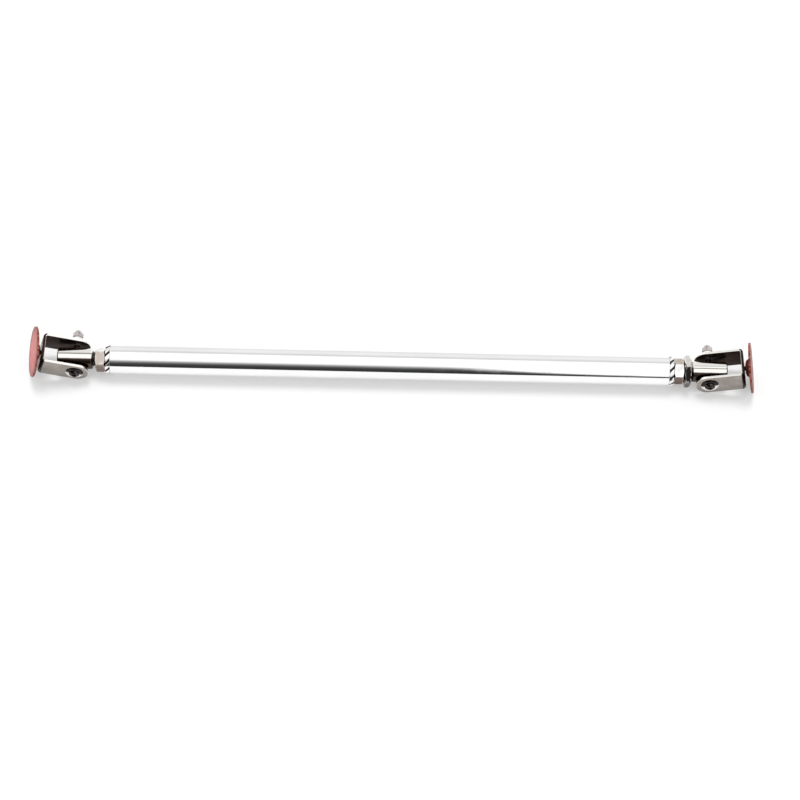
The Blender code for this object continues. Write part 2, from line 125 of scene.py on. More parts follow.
# Forks
FORK_PLATE = 0.0045
FORK_BEND = 0.0025
FORK_BEND_STEPS = (14, 8)  # outside and inside the bend
FORK_EDGE = 0.0009
FORK_EDGE_ANGLE = 40.0  # edges of the plate that turn more than this are eased
FORK_EAR_SHIFT = 0.003  # how far past the pivot the round ends of the ears are centred
FORK_EAR_STEPS = 40
FORK_MARGIN = 0.0005  # how far the painted shade reaches into the plate
BOLT_HOLE = 0.0053
STUD_HOLE = 0.0039
STUD_SINK = 0.0071

# Bolts and washers
BOLT_HEAD_EDGE = 0.0009
BOLT_DOME_STEPS = 12
BOLT_SOCKET = 0.0065
BOLT_SOCKET_DEPTH = 0.0034
BOLT_SOCKET_MOUTH = 0.60  # radius of the socket's bevelled mouth over the socket's width
BOLT_DRILL_DEPTH = 0.0007
BOLT_DRILL_SHARE = 0.8
BOLT_THREAD_LENGTH = 0.028
WASHER_SIDES = 72
WASHER_STEP = 0.002
WASHER_BEVEL = 0.0025
WASHER_BEVEL_ANGLE = 33.0

# Balls, sockets and pads
BALL_STEPS = 20
SOCKET_STEPS = 14
SOCKET_EDGES = (0.0008, 0.0005)  # at the mouth and at the closed end
PAD_SIDES = 128
PAD_STEP = 0.0025
PAD_RIM = 0.0038
PAD_MIDDLE = 0.0050
PAD_HUB_RADIUS = 0.0128
PAD_HUB_FOOT = 0.0160
PAD_FLASH = 0.0003
PAD_EDGE = 0.0011
PAD_FOOT_EDGE = 0.0016
PAD_BACK_EDGE = 0.0009
PAD_BACK_DRAFT = 0.0004


# ---- frames

JOINTS = {joint["name"]: joint for joint in frame["joints"]}
MOUNTS = {mount["name"]: mount for mount in frame["record"]["mounts"]}
Span = namedtuple("Span", "start end inner outer")


def axes(origin, along, across):
    """A frame at origin with X along one direction and Y as near as can be to another."""
    x = Vector(along).normalized()
    z = x.cross(Vector(across)).normalized()
    y = z.cross(x)
    matrix = Matrix((x, y, z)).transposed().to_4x4()
    matrix.translation = Vector(origin)
    return matrix


def end_axes(side):
    """The frame of one end of the tube, X outward, with its origin on the tube's end face."""
    low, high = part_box("main_tube")
    way = -1.0 if side == "left" else 1.0
    origin = (low + high) / 2.0
    origin.x = low.x if side == "left" else high.x
    return axes(origin, (way, 0.0, 0.0), (0.0, way, 0.0))


def fork_axes(side):
    """The frame of one fork: its origin on the pivot, X to the pad and Y along the bolt."""
    tilt = JOINTS[side + "_fork_tilt"]
    swivel = JOINTS[side + "_pad_swivel"]
    pivot = Vector(tilt["pos_m"])
    return axes(pivot, Vector(swivel["pos_m"]) - pivot, -Vector(tilt["axis"]))


def rod_axes(side):
    """The frame of one rod, which rolls with its fork, with its origin on the pivot."""
    outward = end_axes(side).col[0].to_3d()
    return axes(fork_axes(side).translation, outward, fork_axes(side).col[1].to_3d())


def pad_axes(side):
    """The frame of one pad, with its origin in the ball and X out of its flat face."""
    swivel = JOINTS[side + "_pad_swivel"]
    normal = Vector(MOUNTS[side + "_pad_face"]["axis"])
    return axes(swivel["pos_m"], normal, Vector(swivel["axis"]).cross(normal))


def local_points(node, matrix):
    """The corners of a CAD node in a local frame."""
    inverse = matrix.inverted()
    return [inverse @ vertex.co for vertex in frame["nodes"][node].data.vertices]


def span(node, matrix):
    """How far a round CAD node reaches along X, and its inner and outer radius."""
    points = local_points(node, matrix)
    radii = [math.hypot(point.y, point.z) for point in points]
    alongs = [point.x for point in points]
    return Span(min(alongs), max(alongs), min(radii), max(radii))


def half_width(node, matrix):
    """Half of a CAD node's size along a local frame's Y."""
    across = [point.y for point in local_points(node, matrix)]
    return (max(across) - min(across)) / 2.0


# ---- shapes

def evenly(start, end, steps):
    """Values from start to end, in even steps."""
    return [start + (end - start) * step / steps for step in range(steps + 1)]


def filleted(corners, steps=4):
    """An outline from (along, radius, rounding) corners, each rounded by a short curve."""
    count = len(corners)
    points = []
    for index, (along, radius, rounding) in enumerate(corners):
        here = Vector((along, radius))
        if rounding == 0.0:
            points.append((along, radius))
            continue
        before = Vector(corners[index - 1][:2]) - here
        after = Vector(corners[(index + 1) % count][:2]) - here
        entry = here + before.normalized() * min(rounding, before.length * 0.49)
        leave = here + after.normalized() * min(rounding, after.length * 0.49)
        for t in evenly(0.0, 1.0, steps):
            point = entry * (1.0 - t) ** 2 + here * 2.0 * t * (1.0 - t) + leave * t**2
            points.append((point.x, point.y))
    return points


def subdivided(outline, step):
    """An outline with no side longer than a step, except along the axis."""
    points = []
    for here, there in zip(outline, outline[1:] + outline[:1]):
        points.append(here)
        if here[1] == 0.0 and there[1] == 0.0:
            continue
        pieces = math.ceil(math.dist(here, there) / step)
        for piece in range(1, pieces):
            t = piece / pieces
            points.append((here[0] + (there[0] - here[0]) * t, here[1] + (there[1] - here[1]) * t))
    return points


def even_angles(count):
    """Angles round a full turn, in radians."""
    return [2.0 * math.pi * step / count for step in range(count)]


def mark_edges(bm):
    """Stores how sharply the surface turns at each corner, from 0 to 1, for the materials."""
    layer = bm.verts.layers.float.new("edge_wear")
    for vertex in bm.verts:
        turn = max((edge.calc_face_angle(0.0) for edge in vertex.link_edges), default=0.0)
        vertex[layer] = min(1.0, turn / math.radians(WORN_ANGLE))


def linked(name, data):
    """A new object in the scene."""
    made = bpy.data.objects.new(name, data)
    bpy.context.scene.collection.objects.link(made)
    return made


def meshed(name, bm):
    """A new object made from a bmesh."""
    mesh = bpy.data.meshes.new(name)
    bm.to_mesh(mesh)
    bm.free()
    return linked(name, mesh)


def revolved(section, angles):
    """A closed bmesh turned about X, where section(angle) gives the (along, radius) outline."""
    bm = bmesh.new()
    poles = {}
    columns = []
    for angle in angles:
        column = []
        for index, (along, radius) in enumerate(section(angle)):
            if radius == 0.0:
                if index not in poles:
                    poles[index] = bm.verts.new((along, 0.0, 0.0))
                column.append(poles[index])
            else:
                place = (along, radius * math.cos(angle), radius * math.sin(angle))
                column.append(bm.verts.new(place))
        columns.append(column)
    for here, there in zip(columns, columns[1:] + columns[:1]):
        for low in range(len(here)):
            high = (low + 1) % len(here)
            corners = list(dict.fromkeys((here[low], there[low], there[high], here[high])))
            if len(corners) > 2:
                bm.faces.new(corners)
    return bm


def turned(outline, sides):
    """A closed bmesh of a plain outline turned about X."""
    return revolved(lambda angle: outline, even_angles(sides))


def hexagon_turn(across_flats, rounding):
    """The angle from the middle of a flat to where the rounding of a corner starts."""
    half = across_flats / 2.0
    return math.atan((half - rounding) * math.tan(math.radians(30.0)) / half)


def hexagon_angles(across_flats, rounding, flat_steps=12, corner_steps=4):
    """Angles that follow a hexagon with flats across Y, in radians."""
    reach = hexagon_turn(across_flats, rounding)
    corner = math.radians(60.0) - 2.0 * reach
    angles = []
    for flat in range(6):
        middle = math.radians(60.0 * flat)
        angles += [middle - reach + 2.0 * reach * step / flat_steps for step in range(flat_steps)]
        angles += [middle + reach + corner * step / corner_steps for step in range(corner_steps)]
    return angles


def hexagon_radius(angle, across_flats, rounding):
    """The distance from the axis to a hexagon with flats across Y and rounded corners."""
    half = across_flats / 2.0
    twelfth = math.radians(30.0)
    from_flat = (angle + twelfth) % math.radians(60.0) - twelfth
    from_corner = twelfth - abs(from_flat)
    if abs(from_flat) <= hexagon_turn(across_flats, rounding):
        return half / math.cos(from_flat)
    centre = (half - rounding) / math.cos(twelfth)
    side = centre * math.sin(from_corner)
    return centre * math.cos(from_corner) + math.sqrt(max(rounding**2 - side**2, 0.0))


def thread_groove(along, angle, pitch, hand):
    """How far a thread is cut in below its crest at one place."""
    phase = (along / pitch - hand * angle / (2.0 * math.pi)) % 1.0
    flank = min(max((abs(phase - 0.5) * 2.0 - THREAD_CREST) / THREAD_FLANK, 0.0), 1.0)
    return pitch * THREAD_DEPTH_SHARE * flank * flank * (3.0 - 2.0 * flank)


def extruded(outline, low, high, upright):
    """A closed bmesh prism from a flat outline, along Z if upright and along Y if not."""
    bm = bmesh.new()
    ends = []
    for level in (low, high):
        points = [(u, v, level) if upright else (u, level, v) for u, v in outline]
        ends.append([bm.verts.new(point) for point in points])
    bm.faces.new(ends[0])
    bm.faces.new(ends[1])
    count = len(outline)
    for here in range(count):
        there = (here + 1) % count
        bm.faces.new((ends[0][here], ends[0][there], ends[1][there], ends[1][here]))
    return bm


def as_object(bm, rotation=(0.0, 0.0, 0.0)):
    """A bmesh as a passing object for a modifier."""
    bmesh.ops.recalc_face_normals(bm, faces=bm.faces)
    shape = meshed("shape", bm)
    shape.rotation_euler = [math.radians(angle) for angle in rotation]
    return shape


def modified(shape, kind, fields):
    """The bmesh that an object becomes under a modifier of some kind, with its fields set."""
    modifier = shape.modifiers.new(kind.lower(), kind)
    for field, value in fields.items():
        setattr(modifier, field, value)
    bpy.context.view_layer.update()
    evaluated = shape.evaluated_get(bpy.context.evaluated_depsgraph_get())
    bm = bmesh.new()
    bm.from_mesh(evaluated.data)
    bpy.data.objects.remove(shape, do_unlink=True)
    return bm


def combined(bm, tool, operation, rotation=(0.0, 0.0, 0.0)):
    """A bmesh after an exact Boolean with another."""
    cutter = as_object(tool, rotation)
    fields = {"operation": operation, "solver": "EXACT", "object": cutter}
    result = modified(as_object(bm), "BOOLEAN", fields)
    bpy.data.objects.remove(cutter, do_unlink=True)
    bmesh.ops.remove_doubles(result, verts=result.verts, dist=MERGE_DISTANCE)
    bmesh.ops.dissolve_limit(
        result, angle_limit=math.radians(FLAT_ANGLE), verts=result.verts, edges=result.edges,
        delimit={"NORMAL"},
    )
    return result


def bored_across(bm, radius, reach, sides):
    """A bmesh with a round hole cut through it along Y."""
    hole = [(-reach, 0.0), (-reach, radius), (reach, radius), (reach, 0.0)]
    return combined(bm, turned(hole, sides), "DIFFERENCE", (0.0, 0.0, 90.0))


def arc(centre, radius, start, end, steps):
    """Points on an arc round a centre, from one angle to another in degrees."""
    angles = [math.radians(angle) for angle in evenly(start, end, steps)]
    return [(centre[0] + radius * math.cos(a), centre[1] + radius * math.sin(a)) for a in angles]


# ---- materials

class Graph:
    """A node tree, with short ways to add the nodes that this script uses."""

    def __init__(self, tree):
        self.tree = tree

    def node(self, kind, inputs, **fields):
        """A new node, with its inputs set to values or linked to other nodes' outputs."""
        made = self.tree.nodes.new(kind)
        for field, value in fields.items():
            setattr(made, field, value)
        for key, value in inputs.items():
            self.feed(made.inputs[key], value)
        return made

    def feed(self, socket, value):
        """Sets an input to a value, or links it to another node's output."""
        if isinstance(value, bpy.types.NodeSocket):
            self.tree.links.new(value, socket)
        else:
            socket.default_value = value

    def ranged(self, value, from_low, from_high, to_low, to_high):
        """A value moved smoothly from one range to another."""
        inputs = {0: value, 1: from_low, 2: from_high, 3: to_low, 4: to_high}
        made = self.node("ShaderNodeMapRange", inputs, interpolation_type="SMOOTHSTEP")
        return made.outputs[0]

    def rise(self, value, low, high):
        """0 to 1, as a value passes from low to high."""
        return self.ranged(value, low, high, 0.0, 1.0)

    def math(self, operation, first, second=0.0):
        """One Math node."""
        return self.node("ShaderNodeMath", {0: first, 1: second}, operation=operation).outputs[0]

    def plus(self, value, other, share):
        """A value plus a share of another."""
        return self.math("ADD", value, self.math("MULTIPLY", other, share))

    def without(self, value, mask):
        """A value that fades away as a mask rises to 1."""
        return self.math("MULTIPLY", value, self.math("SUBTRACT", 1.0, mask))

    def axes(self, vector):
        """The three parts of a vector."""
        return self.node("ShaderNodeSeparateXYZ", {0: vector}).outputs

    def blended(self, factor, first, second):
        """A number between two numbers."""
        inputs = {"Factor": factor, 2: first, 3: second}
        return self.node("ShaderNodeMix", inputs, data_type="FLOAT").outputs[0]


class Nodes(Graph):
    """A material whose Principled shader is fed by textures in the piece's own frame."""

    def __init__(self, name):
        self.material = bpy.data.materials.new(name)
        self.material.use_nodes = True
        super().__init__(self.material.node_tree)
        self.shader = self.tree.nodes["Principled BSDF"]
        self.place = self.tree.nodes.new("ShaderNodeTexCoord").outputs["Object"]

    def noise(self, stretch, detail=3.0, roughness=0.55):
        """Noise with that many features to the metre, on all axes or each, from 0 to 1."""
        if isinstance(stretch, float):
            stretch = (stretch, stretch, stretch)
        mapped = self.node("ShaderNodeMapping", {"Vector": self.place, "Scale": stretch})
        inputs = {"Scale": 1.0, "Detail": detail, "Roughness": roughness}
        inputs["Vector"] = mapped.outputs[0]
        return self.node("ShaderNodeTexNoise", inputs).outputs[0]

    def clouds(self, stretch):
        """Soft patches, from 0 to 1."""
        return self.rise(self.noise(stretch), 0.35, 0.70)

    def gloss(self, noise, low, high):
        """A roughness that a noise moves between two values."""
        return self.ranged(noise, 0.30, 0.72, low, high)

    def parts(self):
        """How far a place lies along, across and above the piece's frame."""
        return self.axes(self.place)

    def length(self, first, second):
        """The length of the hypotenuse of two values."""
        square = self.math("MULTIPLY", first, first)
        return self.math("SQRT", self.plus(square, second, second))

    def mixed(self, factor, first, second, blend="MIX"):
        """A colour between two colours, or blended from them."""
        inputs = {"Factor": factor, 6: first, 7: second}
        made = self.node("ShaderNodeMix", inputs, data_type="RGBA", blend_type=blend)
        return made.outputs[2]

    def bump(self, height, distance, below=None):
        """A normal bent by a height, over another bump."""
        inputs = {"Height": height, "Distance": distance, "Strength": 1.0}
        if below is not None:
            inputs["Normal"] = below
        return self.node("ShaderNodeBump", inputs).outputs[0]

    def worn(self):
        """How sharply the surface turns, broken up so that only parts of an edge are worn."""
        edge = self.node("ShaderNodeAttribute", {}, attribute_name="edge_wear").outputs["Fac"]
        return self.math("MULTIPLY", edge, self.rise(self.noise(190.0), 0.40, 0.62))

    def set(self, key, value):
        """Sets or links one input of the shader."""
        self.feed(self.shader.inputs[key], value)

    def as_metal(self, colour, roughness, normal):
        """Makes the shader a bare metal, and gives the finished material."""
        self.set("Base Color", colour)
        self.set("Metallic", 1.0)
        self.set("Roughness", roughness)
        self.set("Normal", normal)
        return self.material


def rgb(red, green, blue):
    """A colour with full alpha."""
    return (red, green, blue, 1.0)


def metal(name, clean, dull, roughness, grain, grain_depth, worn_colour=None):
    """Bare or plated metal: cloudy tint, uneven gloss, a directional grain and worn edges.

    grain is how many lines to the metre run across each axis, and roughness a low and a high.
    """
    nodes = Nodes(name)
    colour = nodes.mixed(nodes.clouds((40.0, 60.0, 60.0)), clean, dull)
    wear = nodes.worn()
    if worn_colour is not None:
        colour = nodes.mixed(wear, colour, worn_colour)
    gloss = nodes.gloss(nodes.noise((55.0, 130.0, 130.0), detail=4.0), *roughness)
    lines = nodes.noise(grain, detail=2.0)
    return nodes.as_metal(colour, nodes.plus(gloss, wear, 0.08), nodes.bump(lines, grain_depth))


def tube_material():
    """Mirror-polished tube: fine grinding rings, faint draw lines along it and a few smears."""
    nodes = Nodes("polished_tube")
    clouds = nodes.clouds((9.0, 50.0, 50.0))
    colour = nodes.mixed(clouds, rgb(0.955, 0.955, 0.96), rgb(0.915, 0.915, 0.925))
    colour = nodes.mixed(nodes.worn(), colour, rgb(0.86, 0.86, 0.87))
    smears = nodes.noise((22.0, 90.0, 90.0), detail=5.0, roughness=0.62)
    gloss = nodes.ranged(smears, 0.42, 0.80, 0.035, 0.13)
    rings = nodes.bump(nodes.noise((2600.0, 30.0, 30.0), detail=2.0), 0.0000016)
    draw = nodes.noise((3.0, 420.0, 420.0))
    return nodes.as_metal(colour, gloss, nodes.bump(draw, 0.000012, rings))


def fork_material():
    """Brushed plate, with painted shade between the ears, on the bends and on the web, and painted highlights on
    the rims.
    """
    nodes = Nodes("stainless_plate")
    along, across, height = nodes.parts()
    # Painted shade between the ears and behind the web, where the plate lies in its own shade.
    inner_half = FORK_INNER_HALF + FORK_MARGIN
    between_ears = nodes.math("LESS_THAN", nodes.math("ABSOLUTE", across), inner_half)
    behind_web = nodes.math("LESS_THAN", along, FORK_WEB_INNER + FORK_MARGIN)
    inside = nodes.math("MULTIPLY", between_ears, behind_web)
    past_pivot = nodes.math("MINIMUM", nodes.math("ADD", along, FORK_EAR_SHIFT), 0.0)
    from_spine = nodes.length(past_pivot, height)
    # Painted shade on the bends and the web's outer face, standing in for the dark pad reflected there.
    bend = nodes.rise(along, FORK_REACH - 0.0066, FORK_REACH - 0.0048)
    bend = nodes.without(bend, inside)
    # Painted highlight along the lit top edges of the ears, kept off the web.
    rim = nodes.rise(from_spine, FORK_HALF_HEIGHT - 0.0008, FORK_HALF_HEIGHT - 0.0003)
    rim = nodes.without(rim, bend)
    patches = nodes.noise(110.0)
    clouds = nodes.rise(nodes.noise((45.0, 45.0, 70.0), detail=4.0), 0.34, 0.70)
    outer = nodes.mixed(clouds, rgb(0.37, 0.335, 0.305), rgb(0.29, 0.26, 0.235))
    # The next colour is the near-black painted shade, and the bright colour after it is the painted highlight of
    # the rims.
    painted_shade = nodes.mixed(clouds, rgb(0.044, 0.026, 0.020), rgb(0.018, 0.010, 0.008))
    bright = nodes.mixed(patches, rgb(0.96, 0.945, 0.905), rgb(0.88, 0.86, 0.82))
    colour = nodes.mixed(nodes.math("MAXIMUM", inside, bend), outer, painted_shade)
    colour = nodes.mixed(rim, colour, bright)
    gloss = nodes.ranged(patches, 0.25, 0.75, 0.20, 0.30)
    gloss = nodes.plus(nodes.plus(gloss, inside, 0.10), rim, -0.12)
    brushed = nodes.noise((40.0, 40.0, 1600.0), detail=2.0)
    pits = nodes.bump(nodes.noise(260.0), 0.000008)
    return nodes.as_metal(colour, gloss, nodes.bump(brushed, 0.000003, pits))


def head_material(name, back, reflection_line_rise, shade_rise):
    """Bright turned steel, with painted shade on the side that faces front and down, away from the light, and a
    painted grey reflection line above it.

    back is 1 or -1, the way along Y that faces away from the viewer. The rises say how far
    above the axis the painted reflection line and the start of the painted shade lie, seen square to the lit side.
    """
    nodes = Nodes(name)
    _, across, height = nodes.parts()
    tilt = math.radians(SHADE_TILT)
    clouds = nodes.noise((60.0, 110.0, 110.0))
    forward = nodes.math("MULTIPLY", across, -back * math.sin(tilt))
    edge = nodes.plus(nodes.plus(forward, height, -math.cos(tilt)), clouds, 0.001)
    # A thin grey painted reflection line, and below it painted shade on the side that faces front and down.
    from_reflection_line = nodes.math("ABSOLUTE", nodes.math("ADD", edge, reflection_line_rise))
    reflection_line = nodes.ranged(from_reflection_line, 0.0003, 0.0012, 1.0, 0.0)
    shaded_side = nodes.rise(edge, -shade_rise, 0.0018 - shade_rise)
    bright = nodes.mixed(clouds, rgb(0.93, 0.92, 0.89), rgb(0.84, 0.82, 0.78))
    grey = nodes.mixed(clouds, rgb(0.27, 0.25, 0.21), rgb(0.17, 0.155, 0.125))
    painted_shade = nodes.mixed(clouds, rgb(0.105, 0.075, 0.058), rgb(0.050, 0.034, 0.026))
    colour = nodes.mixed(shaded_side, nodes.mixed(reflection_line, bright, grey), painted_shade)
    gloss = nodes.gloss(nodes.noise((55.0, 130.0, 130.0), detail=4.0), 0.035, 0.10)
    lines = nodes.noise((30.0, 1500.0, 1500.0), detail=2.0)
    return nodes.as_metal(colour, nodes.plus(gloss, shaded_side, 0.12), nodes.bump(lines, 0.000003))


def washer_material():
    """A bright plated washer with painted shade on its upper half."""
    nodes = Nodes("washer_with_painted_dark_top")
    clouds = nodes.noise(120.0)
    # Painted shade on the upper half, which turns towards the dark front; the lower half stays bright.
    black = nodes.rise(nodes.plus(nodes.parts()[2], clouds, 0.003), 0.0005, 0.0035)
    bright = nodes.mixed(clouds, rgb(0.95, 0.94, 0.92), rgb(0.86, 0.84, 0.81))
    painted_shade_colour = nodes.mixed(clouds, rgb(0.045, 0.036, 0.034), rgb(0.020, 0.015, 0.015))
    colour = nodes.mixed(black, bright, painted_shade_colour)
    grain = nodes.bump(nodes.noise(220.0), 0.000004)
    return nodes.as_metal(colour, nodes.gloss(clouds, 0.08, 0.18), grain)


def bolt_material(seat):
    """A bolt with a black head, and a painted highlight on its bright shank; seat is where the head ends along X.
    """
    nodes = Nodes("black_headed_bolt")
    clouds = nodes.noise(160.0)
    # Painted highlight: the shank past the head is made bright so that it catches the light between the ears.
    shank = nodes.rise(nodes.parts()[0], seat + 0.0002, seat + 0.0008)
    black = nodes.mixed(clouds, rgb(0.052, 0.043, 0.040), rgb(0.024, 0.019, 0.018))
    bright = nodes.mixed(clouds, rgb(0.90, 0.89, 0.87), rgb(0.74, 0.72, 0.70))
    worn_and_lit = nodes.math("MULTIPLY", nodes.worn(), 0.5)
    colour = nodes.mixed(worn_and_lit, nodes.mixed(shank, black, bright), rgb(0.50, 0.47, 0.45))
    grain = nodes.bump(nodes.noise(220.0), 0.000006)
    return nodes.as_metal(colour, nodes.gloss(clouds, 0.07, 0.16), grain)


def nut_material(name, back, low, middle, top):
    """Glossy plating with light and shade painted on flat by flat, so that each flat has its own tint.

    back is 1 or -1, the way along Y that faces away from the viewer. low is the painted shade
    on the upright flats and the underside, and middle and top the painted light on the two upper flats.
    """
    nodes = Nodes(name)
    _, across, height = nodes.parts()
    from_axis = nodes.math("MAXIMUM", nodes.length(across, height), 0.001)
    raised = nodes.rise(nodes.math("DIVIDE", height, from_axis), 0.48, 0.52)
    rear = nodes.rise(nodes.math("MULTIPLY", across, back), -0.0004, 0.0004)
    clouds = nodes.ranged(nodes.noise(70.0), 0.30, 0.70, 0.82, 1.12)
    # Painted light and shade: each flat takes the colour of how it catches the light.
    tint = nodes.mixed(raised, low, nodes.mixed(rear, middle, top))
    colour = nodes.mixed(1.0, tint, clouds, "MULTIPLY")
    colour = nodes.mixed(nodes.worn(), colour, rgb(0.92, 0.90, 0.87))
    gloss = nodes.gloss(nodes.noise(90.0, detail=4.0), 0.07, 0.15)
    return nodes.as_metal(colour, gloss, nodes.bump(nodes.noise(140.0), 0.000012))


def flange_material():
    """Bright turned flange with painted shade in its notches."""
    nodes = Nodes("bright_flange")
    _, across, height = nodes.parts()
    from_axis = nodes.length(across, height)
    clouds = nodes.clouds((50.0, 90.0, 90.0))
    # Painted shade in the notches, below the raised rim.
    raised = nodes.rise(from_axis, FLANGE_RADIUS - 0.0013, FLANGE_RADIUS - 0.0007)
    bright = nodes.mixed(clouds, rgb(0.95, 0.95, 0.94), rgb(0.87, 0.865, 0.85))
    painted_shade_colour = nodes.mixed(clouds, rgb(0.035, 0.030, 0.028), rgb(0.015, 0.013, 0.012))
    gloss = nodes.gloss(nodes.noise(90.0, detail=4.0), 0.06, 0.14)
    gloss = nodes.math("ADD", gloss, nodes.without(0.30, raised))
    grain = nodes.noise((2600.0, 60.0, 60.0), detail=2.0)
    return nodes.as_metal(nodes.mixed(raised, painted_shade_colour, bright), gloss, nodes.bump(grain, 0.000002))


def rubber_material(name, face, face_dull):
    """Moulded red-brown rubber, painted paler on its flat face where the light falls and painted dark with shade
    on its rim and back.
    """
    nodes = Nodes(name)
    along, across, height = nodes.parts()
    # The flat face is painted paler as lit, and darker towards its edge; the rim and back get the dark colour as
    # painted shade.
    on_face = nodes.rise(along, PAD_FACE - 0.0009, PAD_FACE - 0.0002)
    clouds = nodes.rise(nodes.noise(60.0, detail=4.0), 0.32, 0.72)
    moulded = nodes.mixed(clouds, rgb(0.135, 0.026, 0.014), rgb(0.085, 0.013, 0.006))
    edge = nodes.ranged(nodes.length(across, height), 0.022, 0.042, 0.0, 0.60)
    worn_and_lit = nodes.mixed(edge, nodes.mixed(clouds, face, face_dull), moulded)
    colour = nodes.mixed(on_face, moulded, worn_and_lit)
    grain = nodes.bump(nodes.noise(2000.0, detail=2.0), 0.000002)
    waves = nodes.noise(160.0, detail=2.0)
    nodes.set("Base Color", nodes.mixed(nodes.worn(), colour, rgb(0.42, 0.14, 0.11)))
    nodes.set("Roughness", nodes.ranged(nodes.noise(130.0, detail=4.0), 0.3, 0.7, 0.34, 0.48))
    nodes.set("Specular IOR Level", 0.20)
    nodes.set("Normal", nodes.bump(waves, 0.00003, grain))
    return nodes.material


# ---- pieces

def finish_piece(name, bm, matrix, material, body, slot, *nodes):
    """Places a piece, gives it its finish, and ties it to its CAD body and nodes."""
    bmesh.ops.recalc_face_normals(bm, faces=bm.faces)
    mark_edges(bm)
    piece = meshed(name, bm)
    piece.matrix_world = matrix
    piece.data.shade_smooth()
    piece.data.set_sharp_from_angle(angle=math.radians(SHARP_ANGLE))
    piece.data.materials.append(material)
    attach(piece, body)
    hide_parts(*nodes)


def ring_outline(size, edge, step):
    """The outline of a plain ring with all four edges rounded."""
    corners = [
        (size.start, size.inner, edge),
        (size.start, size.outer, edge),
        (size.end, size.outer, edge),
        (size.end, size.inner, edge),
    ]
    return subdivided(filleted(corners), step)


def tube_body(size):
    """The main tube."""
    return turned(ring_outline(size, TUBE_EDGE, TUBE_STEP), TUBE_SIDES)


def plug_body(size, tube_inner):
    """An end plug with a bright notched flange."""
    body = tube_inner - GAP
    twist = math.radians(PLUG_NOTCH_TWIST)

    def rim(angle):
        turn = (angle * PLUG_NOTCHES / (2.0 * math.pi)) % 1.0
        from_notch = abs(turn - 0.5) * 2.0
        flank = PLUG_NOTCH_FLANK * PLUG_NOTCH_SHARE
        cut = min(max((PLUG_NOTCH_SHARE - from_notch) / flank, 0.0), 1.0)
        return size.outer - PLUG_NOTCH_DEPTH * cut

    def section(angle):
        corners = [
            (size.start, size.inner, SOFT_EDGE),
            (size.start, body, PLUG_LEAD),
            (GAP, body, 0.0),
        ]
        for step in range(PLUG_RIM_STEPS):
            share = step / PLUG_RIM_STEPS
            along = GAP + (size.end - GAP) * share
            corners.append((along, rim(angle + twist * share), 0.0))
        corners += [
            (size.end, rim(angle + twist), PLUG_EDGE),
            (size.end, size.inner + PLUG_MOUTH, SMALL_EDGE),
            (size.end - PLUG_MOUTH, size.inner, 0.0),
        ]
        return filleted(corners)

    return revolved(section, even_angles(PLUG_NOTCHES * PLUG_NOTCH_SIDES))


def nut_body(size, across_flats, collar=None):
    """A hexagon nut with chamfered corners, and a round collar at its outer end if it has one."""
    face = NUT_FACE_SHARE * across_flats / 2.0
    rise = math.tan(math.radians(NUT_CHAMFER_ANGLE))
    sink = min(NUT_COUNTERSINK, (face - size.inner) * NUT_SINK_SHARE)
    hexagon_end = size.end - (COLLAR_HEIGHT if collar else 0.0)

    def section(angle):
        radius = hexagon_radius(angle, across_flats, NUT_ROUNDING)
        drop = (radius - face) * rise
        corners = [
            (size.start + sink * NUT_SINK_SLOPE, size.inner, 0.0),
            (size.start, size.inner + sink, FINE_EDGE),
            (size.start, face, SMALL_EDGE),
            (size.start + drop, radius, SOFT_EDGE),
        ]
        length = hexagon_end - size.start - 2.0 * drop
        for step in range(1, NUT_STEPS):
            corners.append((size.start + drop + length * step / NUT_STEPS, radius, 0.0))
        corners += [(hexagon_end - drop, radius, SOFT_EDGE), (hexagon_end, face, SMALL_EDGE)]
        if collar:
            corners += [
                (hexagon_end, collar + SMALL_EDGE, SMALL_EDGE),
                (size.end - COLLAR_SHOULDER[0], collar, COLLAR_ROUNDING),
                (size.end, collar - COLLAR_SHOULDER[1], SOFT_EDGE),
                (size.end, size.inner + COLLAR_LIP[1], FINE_EDGE),
                (size.end - COLLAR_LIP[0], size.inner, 0.0),
            ]
        else:
            corners += [
                (size.end, size.inner + sink, FINE_EDGE),
                (size.end - sink * NUT_SINK_SLOPE, size.inner, 0.0),
            ]
        return filleted(corners, steps=3)

    return revolved(section, hexagon_angles(across_flats, NUT_ROUNDING))


def rod_body(size, hand):
    """A rod threaded over its whole length, with both ends chamfered."""
    depth = ROD_PITCH * THREAD_DEPTH_SHARE
    rings = round((size.end - size.start) / ROD_PITCH * THREAD_STEPS)
    alongs = evenly(size.start, size.end, rings)

    def section(angle):
        points = [(size.start, 0.0)]
        for along in alongs:
            thread = size.outer - thread_groove(along, angle, ROD_PITCH, hand)
            from_end = min(along - size.start, size.end - along)
            points.append((along, min(thread, size.outer - depth - FINE_EDGE + from_end)))
        points.append((size.end, 0.0))
        return points

    return revolved(section, even_angles(SMALL_SIDES))


def head_body(size, socket_radius, socket_depth, bore_radius):
    """A rod head, bored along it for the rod and across it for the bush."""
    face = size.outer - HEAD_CHAMFER
    corners = [
        (size.start + socket_depth, 0.0, 0.0),
        (size.start + socket_depth, socket_radius, 0.0),
        (size.start + HEAD_MOUTH, socket_radius, 0.0),
        (size.start, socket_radius + HEAD_MOUTH, FINE_EDGE),
        (size.start, face, SOFT_EDGE),
        (size.start + HEAD_CHAMFER, size.outer, HEAD_ROUNDING),
        (size.end - HEAD_CHAMFER, size.outer, HEAD_ROUNDING),
        (size.end, face, SOFT_EDGE),
        (size.end, 0.0, 0.0),
    ]
    body = turned(filleted(corners), HEAD_SIDES)
    return bored_across(body, bore_radius, size.outer * 1.5, SOCKET_SIDES)


